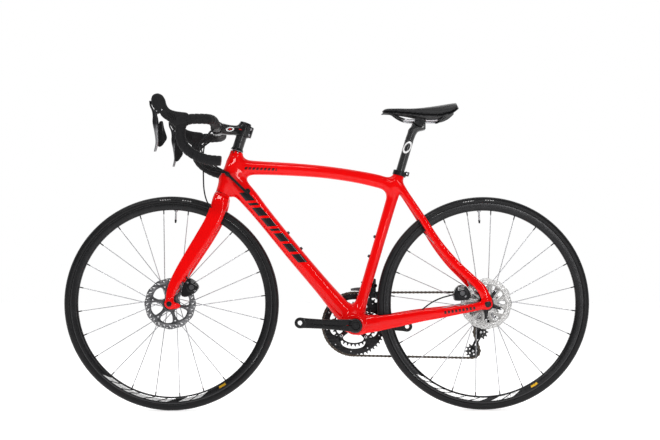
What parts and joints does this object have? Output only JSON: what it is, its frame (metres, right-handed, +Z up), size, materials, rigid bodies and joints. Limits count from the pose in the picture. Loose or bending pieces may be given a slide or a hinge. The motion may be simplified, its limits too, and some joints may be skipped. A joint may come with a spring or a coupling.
{
  "type": "road bicycle",
  "caption": "Drop-bar road bicycle with disc brakes, a sloping curved top tube, spoked wheels, a chain drive with derailleurs, and empty pedal eyes.",
  "frame": {"origin": "centre of the rear axle", "axes": "+X towards the back of the bicycle along the ground, +Y towards its right (drive) side, +Z up; the ground is at z = -0.337 m"},
  "size_m": [1.658, 0.4374, 0.972],
  "materials": {
    "red_paint": "gloss",
    "black_paint": "gloss",
    "grip_rubber": "matt",
    "tyre": "matt",
    "black_alloy": "satin anodised",
    "black_plastic": "satin",
    "steel": "bright",
    "grey_steel": "dark coated",
    "chain_steel": "dark oiled"
  },
  "bodies": {
    "frame": {"frame": "red_paint", "headset_bearing_lower": "steel", "headset_bearing_upper": "steel", "bb_bearing_left": "black_alloy", "bb_bearing_right": "black_alloy", "seat_clamp": "black_paint", "derailleur_hanger": "black_alloy", "rear_axle": "black_alloy", "rear_caliper": "black_paint", "control_cables": "grip_rubber", "chain": "chain_steel", "fd_bracket": "black_plastic", "rd_body": "black_plastic"},
    "steering": {"fork": "red_paint", "headset_cover": "black_paint", "headset_spacers": "black_paint", "stem": "black_paint", "stem_faceplate": "black_paint", "stem_top_cap": "black_paint", "handlebar": "black_alloy", "bar_tape_left": "grip_rubber", "bar_tape_right": "grip_rubber", "hood_left": "grip_rubber", "hood_right": "grip_rubber", "front_caliper": "black_paint", "front_axle": "black_alloy"},
    "front_wheel": {"front_tyre": "tyre", "front_rim": "black_alloy", "front_hub": "black_alloy", "front_spokes_left": "steel", "front_spokes_right": "steel", "front_rotor": "grey_steel"},
    "rear_wheel": {"rear_tyre": "tyre", "rear_rim": "black_alloy", "rear_hub": "black_alloy", "rear_spokes_left": "steel", "rear_spokes_right": "steel", "rear_rotor": "steel"},
    "cassette": {"cassette": "steel"},
    "crank": {"crank_right": "black_alloy", "crank_left": "black_alloy", "chainring_outer": "black_alloy", "chainring_inner": "black_alloy"},
    "rd_link_outer": {"rd_link_outer": "black_plastic"},
    "rd_link_inner": {"rd_link_inner": "black_plastic"},
    "rd_knuckle": {"rd_knuckle": "black_plastic"},
    "rd_cage": {"rd_cage": "black_plastic"},
    "guide_pulley": {"guide_pulley": "black_plastic"},
    "tension_pulley": {"tension_pulley": "black_plastic"},
    "fd_cage": {"fd_cage": "black_plastic"},
    "seatpost": {"seatpost": "black_paint"},
    "saddle": {"saddle_cradle": "black_paint", "saddle_clamp_cap": "black_paint", "saddle_rails": "steel", "saddle_shell": "black_plastic", "saddle_cover": "grip_rubber"},
    "brake_lever_left": {"brake_lever_left": "steel"},
    "brake_lever_right": {"brake_lever_right": "steel"},
    "shift_paddle_left": {"shift_paddle_left": "black_plastic"},
    "shift_paddle_right": {"shift_paddle_right": "black_plastic"}
  },
  "joints": [
    {"name": "steering", "type": "hinge", "parent": "frame", "child": "steering", "pos_m": [-0.82475, 0, 0.34238], "axis": [0.309, 0, 0.9511], "range_deg": [-60, 60], "deforming": ["control_cables"]},
    {"name": "front_wheel_spin", "type": "hinge", "parent": "steering", "child": "front_wheel", "pos_m": [-0.984, 0, 0], "axis": [0, 1, 0], "continuous": true},
    {"name": "freehub_spin", "type": "hinge", "parent": "frame", "child": "cassette", "pos_m": [0, 0, 0], "axis": [0, 1, 0], "continuous": true, "deforming": ["chain"]},
    {"name": "rear_wheel_coast", "type": "hinge", "parent": "cassette", "child": "rear_wheel", "pos_m": [0, 0, 0], "axis": [0, 1, 0], "continuous": true},
    {"name": "crank_spin", "type": "hinge", "parent": "frame", "child": "crank", "pos_m": [-0.4078, 0, -0.0675], "axis": [0, 1, 0], "continuous": true},
    {"name": "rd_shift", "type": "hinge", "parent": "frame", "child": "rd_link_outer", "pos_m": [0.026, 0.09, -0.054], "axis": [0, 0, 1], "range_deg": [-24.4, 24.4]},
    {"name": "rd_link_inner_turn", "type": "hinge", "parent": "frame", "child": "rd_link_inner", "pos_m": [0.026, 0.076, -0.054], "axis": [0, 0, 1], "range_deg": [-24.4, 24.4]},
    {"name": "rd_knuckle_turn", "type": "hinge", "parent": "rd_link_outer", "child": "rd_knuckle", "pos_m": [-0.019, 0.09, -0.054], "axis": [0, 0, 1], "range_deg": [-24.4, 24.4]},
    {"name": "rd_cage_swing", "type": "hinge", "parent": "rd_knuckle", "child": "rd_cage", "pos_m": [0, 0.0486, -0.0935], "axis": [0, 1, 0], "range_deg": [-25, 30], "stiffness_Nm_per_rad": 1},
    {"name": "guide_pulley_spin", "type": "hinge", "parent": "rd_cage", "child": "guide_pulley", "pos_m": [0, 0.0486, -0.0935], "axis": [0, 1, 0], "continuous": true},
    {"name": "tension_pulley_spin", "type": "hinge", "parent": "rd_cage", "child": "tension_pulley", "pos_m": [-0.02562, 0.0486, -0.15432], "axis": [0, 1, 0], "continuous": true},
    {"name": "fd_shift", "type": "slide", "parent": "frame", "child": "fd_cage", "axis": [0, 1, 0], "range_m": [-0.0076, 0]},
    {"name": "seat_height", "type": "slide", "parent": "frame", "child": "seatpost", "axis": [0.284, 0, 0.9588], "range_m": [-0.05, 0.05]},
    {"name": "saddle_tilt", "type": "hinge", "parent": "seatpost", "child": "saddle", "pos_m": [-0.203, 0, 0.576], "axis": [0, 1, 0], "range_deg": [-8, 8]},
    {"name": "brake_pull_left", "type": "hinge", "parent": "steering", "child": "brake_lever_left", "pos_m": [-1, -0.2005, 0.572], "axis": [0, -1, 0], "range_deg": [0, 16], "stiffness_Nm_per_rad": 0.8, "springref_deg": -11.46},
    {"name": "shift_left", "type": "hinge", "parent": "brake_lever_left", "child": "shift_paddle_left", "pos_m": [-0.989, -0.186, 0.544], "axis": [1, 0, 0], "range_deg": [0, 12], "stiffness_Nm_per_rad": 0.3, "springref_deg": -8.59},
    {"name": "brake_pull_right", "type": "hinge", "parent": "steering", "child": "brake_lever_right", "pos_m": [-1, 0.2005, 0.572], "axis": [0, -1, 0], "range_deg": [0, 16], "stiffness_Nm_per_rad": 0.8, "springref_deg": -11.46},
    {"name": "shift_right", "type": "hinge", "parent": "brake_lever_right", "child": "shift_paddle_right", "pos_m": [-0.989, 0.186, 0.544], "axis": [-1, 0, 0], "range_deg": [0, 12], "stiffness_Nm_per_rad": 0.3, "springref_deg": -8.59}
  ],
  "couplings": [
    {"joint": "crank_spin", "follows": "freehub_spin", "ratio": 0.34},
    {"joint": "guide_pulley_spin", "follows": "freehub_spin", "ratio": -1.5455},
    {"joint": "tension_pulley_spin", "follows": "freehub_spin", "ratio": 1.5455},
    {"joint": "rd_link_inner_turn", "follows": "rd_shift", "ratio": 1},
    {"joint": "rd_knuckle_turn", "follows": "rd_shift", "ratio": -1}
  ]
}
